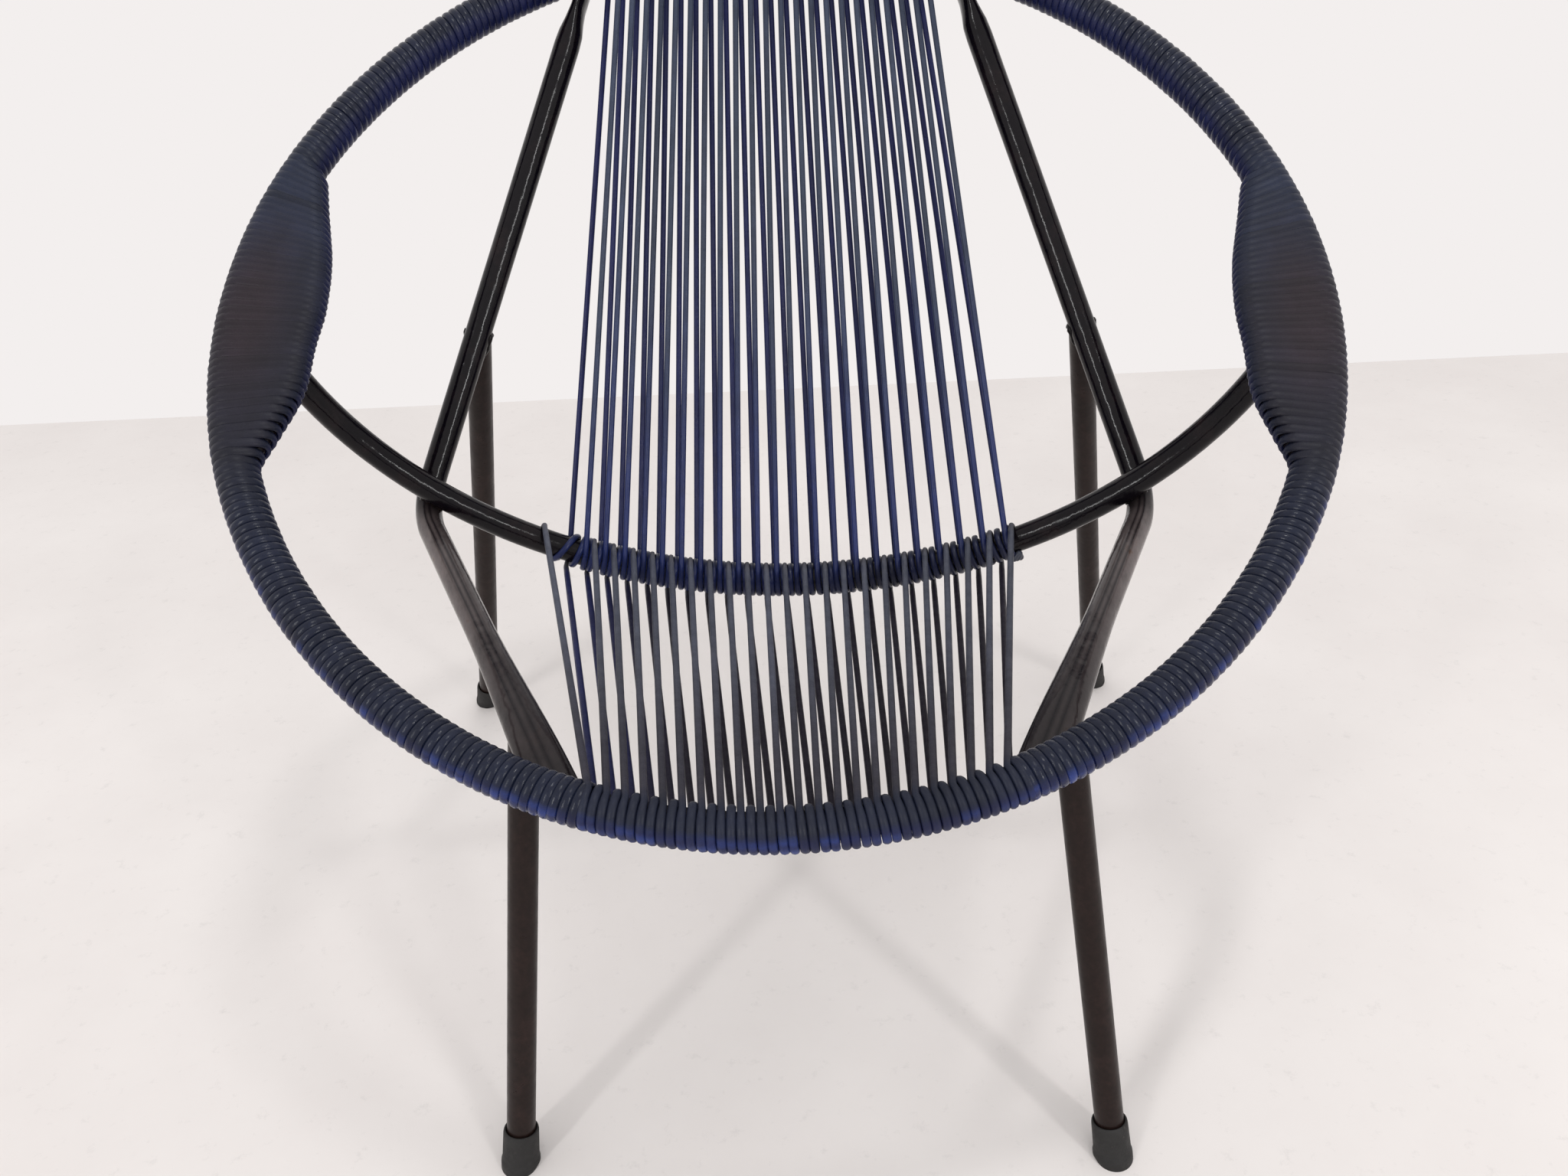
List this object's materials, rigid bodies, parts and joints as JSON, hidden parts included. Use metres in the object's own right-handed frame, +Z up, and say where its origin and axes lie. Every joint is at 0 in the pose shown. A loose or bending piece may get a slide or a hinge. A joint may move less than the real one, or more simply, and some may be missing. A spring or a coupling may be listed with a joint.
{
  "type": "string lounge chair",
  "caption": "Round lounge chair: tilted hoop wound in cord with widened armrests, strung cord back and seat over a curved crossbar, bent tube rails and splayed legs.",
  "frame": {"origin": "on the floor, under the middle of the chair's bounding box", "axes": "+Z up; the sitter faces -Y; +X is the right side as seen from the front, which is the sitter's left"},
  "size_m": [0.7498, 0.6144, 0.7469],
  "materials": {
    "frame_lacquer": "gloss brushed black lacquer",
    "leg_lacquer": "satin black lacquer, slightly brown",
    "winding_cord": "satin navy PVC cord",
    "back_cord": "semi-gloss navy PVC cord",
    "seat_cord": "worn slate-blue PVC cord",
    "cap_rubber": "matte black rubber"
  },
  "bodies": {
    "root": {"hoop_tube": "frame_lacquer", "crossbar_tube": "frame_lacquer", "side_rail_left": "frame_lacquer", "side_rail_right": "frame_lacquer", "front_leg_left": "leg_lacquer", "front_leg_right": "leg_lacquer", "rear_leg_left": "leg_lacquer", "rear_leg_right": "leg_lacquer", "foot_cap_front_left": "cap_rubber", "foot_cap_front_right": "cap_rubber", "foot_cap_rear_left": "cap_rubber", "foot_cap_rear_right": "cap_rubber", "arm_bow_left": "frame_lacquer", "arm_bow_right": "frame_lacquer", "hoop_winding_left": "winding_cord", "hoop_winding_right": "winding_cord", "back_strands": "back_cord", "seat_strands": "seat_cord"}
  },
  "joints": []
}
